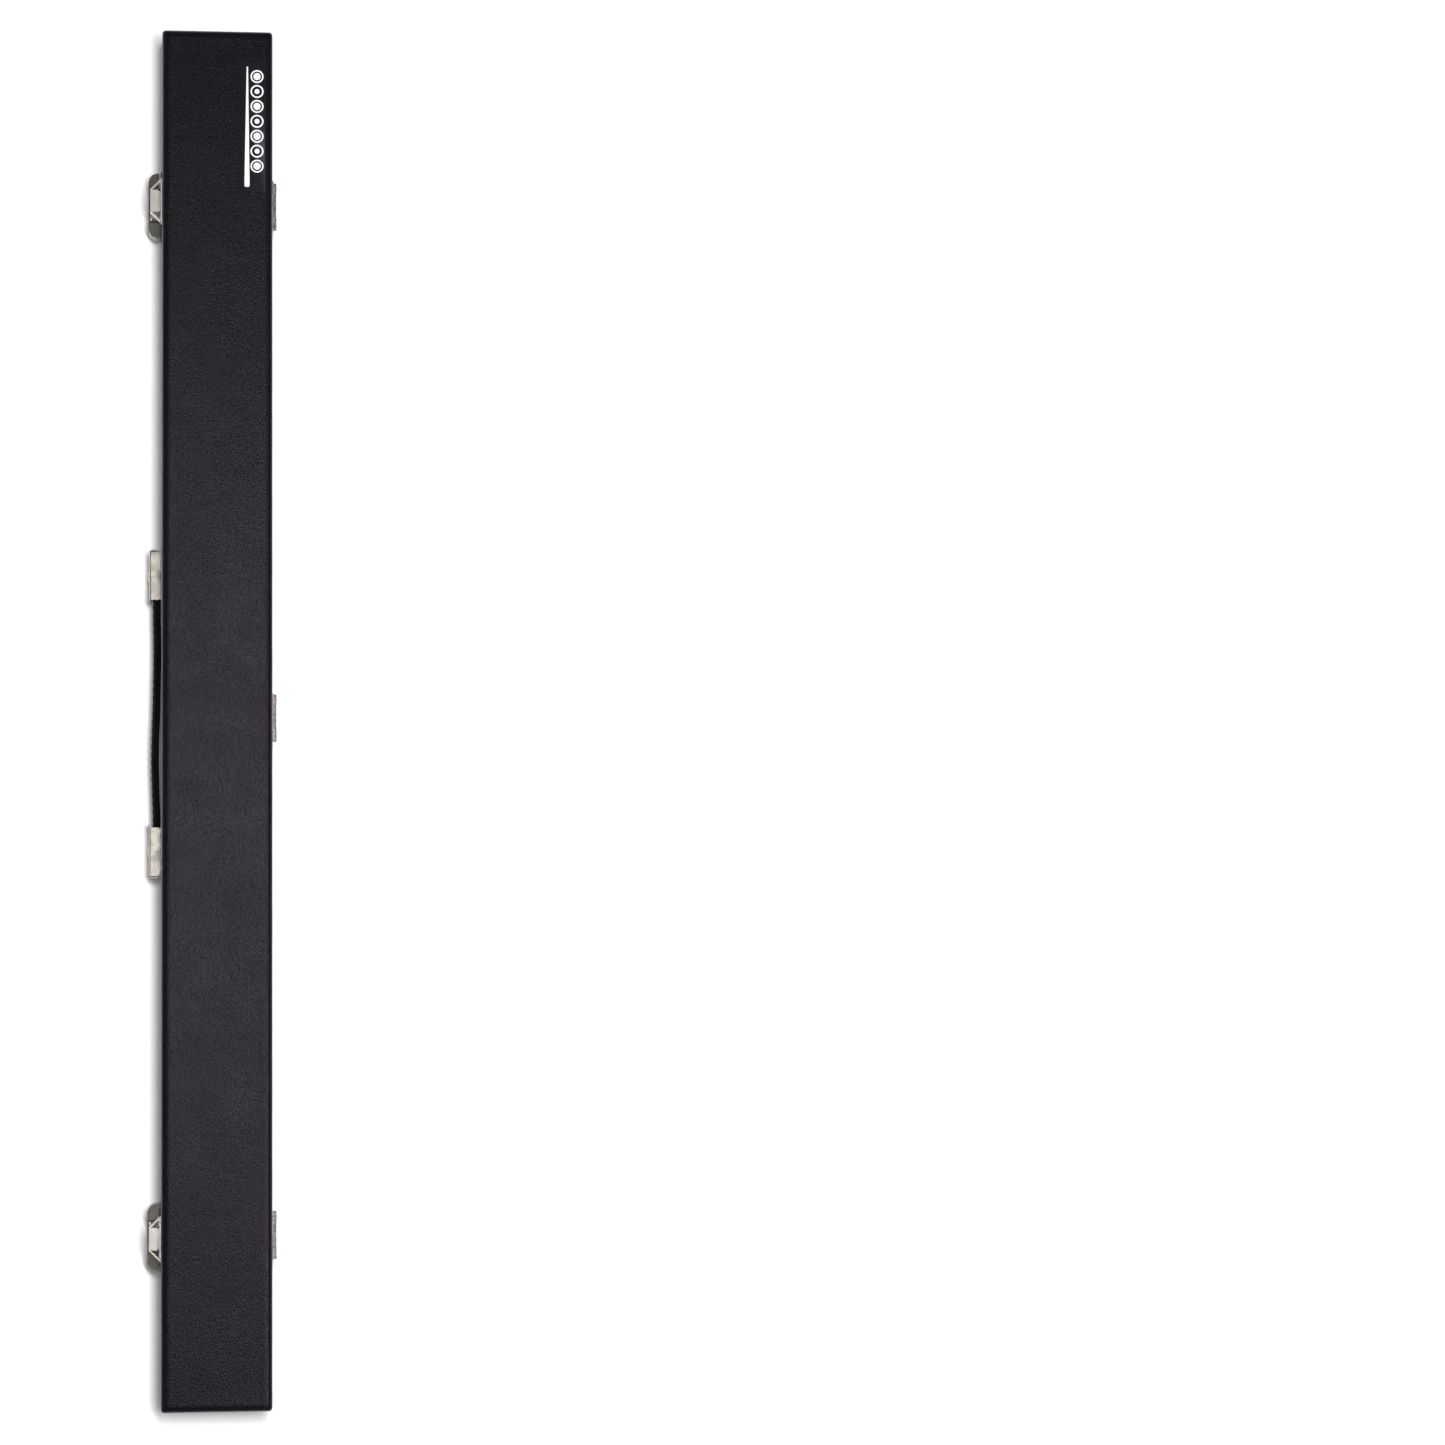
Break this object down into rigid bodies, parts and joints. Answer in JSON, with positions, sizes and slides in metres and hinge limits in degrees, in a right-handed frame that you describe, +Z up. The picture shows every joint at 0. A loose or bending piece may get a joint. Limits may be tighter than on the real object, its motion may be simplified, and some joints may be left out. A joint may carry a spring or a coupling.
{
  "type": "cue case",
  "caption": "Long slim box case for a two-piece cue, with hinged lid, draw latches, strap handle and padded tapered channels.",
  "frame": {"origin": "centre of the case's underside", "axes": "+X along the case, +Y towards the hinges (the latches and the handle face -Y), +Z up"},
  "size_m": [0.84, 0.0782, 0.0482],
  "materials": {
    "plywood": "plain plywood, unseen",
    "leatherette": "black grained leatherette, satin",
    "velvet": "black flocked velvet",
    "strap": "black leather, satin",
    "thread": "black thread",
    "nickel": "nickel plated sheet, satin",
    "fasteners": "nickel plated, worn",
    "sticker_film": "thin black film",
    "white_print": "white print"
  },
  "bodies": {
    "base": {"base_front_board": "plywood", "base_back_board": "plywood", "base_left_board": "plywood", "base_right_board": "plywood", "base_bottom_panel": "plywood", "base_covering": "leatherette", "bottom_covering": "leatherette", "base_lining": "velvet", "base_insert": "velvet", "hinge_left_base_leaf": "nickel", "hinge_middle_base_leaf": "nickel", "hinge_right_base_leaf": "nickel", "hinge_left_pin": "fasteners", "hinge_middle_pin": "fasteners", "hinge_right_pin": "fasteners", "hinge_base_rivets": "fasteners", "latch_left_base_plate": "nickel", "latch_right_base_plate": "nickel", "latch_left_lever_pins": "fasteners", "latch_right_lever_pins": "fasteners", "latch_base_rivets": "fasteners", "handle_left_cap": "nickel", "handle_right_cap": "nickel", "handle_left_back_plate": "nickel", "handle_right_back_plate": "nickel", "handle_strap_outer": "strap", "handle_strap_inner": "strap", "handle_stitching": "thread", "handle_rivets": "fasteners", "handle_washers": "fasteners"},
    "lid": {"lid_front_board": "plywood", "lid_back_board": "plywood", "lid_left_board": "plywood", "lid_right_board": "plywood", "lid_top_panel": "plywood", "lid_covering": "leatherette", "lid_lining": "velvet", "lid_pad": "velvet", "hinge_left_lid_leaf": "nickel", "hinge_middle_lid_leaf": "nickel", "hinge_right_lid_leaf": "nickel", "hinge_lid_rivets": "fasteners", "latch_left_strike": "nickel", "latch_right_strike": "nickel", "latch_strike_rivets": "fasteners", "sticker": "sticker_film", "sticker_mark": "white_print"},
    "left_lever": {"latch_left_lever": "nickel", "latch_left_hasp_pins": "fasteners"},
    "left_hasp": {"latch_left_hasp": "nickel"},
    "right_lever": {"latch_right_lever": "nickel", "latch_right_hasp_pins": "fasteners"},
    "right_hasp": {"latch_right_hasp": "nickel"}
  },
  "joints": [
    {"name": "lid_hinge", "type": "hinge", "parent": "base", "child": "lid", "pos_m": [0, 0.03505, 0.028], "axis": [-1, 0, 0], "range_deg": [0, 180]},
    {"name": "left_lever_turn", "type": "hinge", "parent": "base", "child": "left_lever", "pos_m": [-0.316, -0.0397, 0.019], "axis": [-1, 0, 0], "range_deg": [0, 110]},
    {"name": "left_hasp_turn", "type": "hinge", "parent": "left_lever", "child": "left_hasp", "pos_m": [-0.316, -0.0387, 0.0145], "axis": [1, 0, 0], "range_deg": [0, 110]},
    {"name": "right_lever_turn", "type": "hinge", "parent": "base", "child": "right_lever", "pos_m": [0.316, -0.0397, 0.019], "axis": [-1, 0, 0], "range_deg": [0, 110]},
    {"name": "right_hasp_turn", "type": "hinge", "parent": "right_lever", "child": "right_hasp", "pos_m": [0.316, -0.0387, 0.0145], "axis": [1, 0, 0], "range_deg": [0, 110]}
  ],
  "couplings": [
    {"joint": "left_hasp_turn", "follows": "left_lever_turn", "ratio": 1},
    {"joint": "right_hasp_turn", "follows": "right_lever_turn", "ratio": 1}
  ]
}
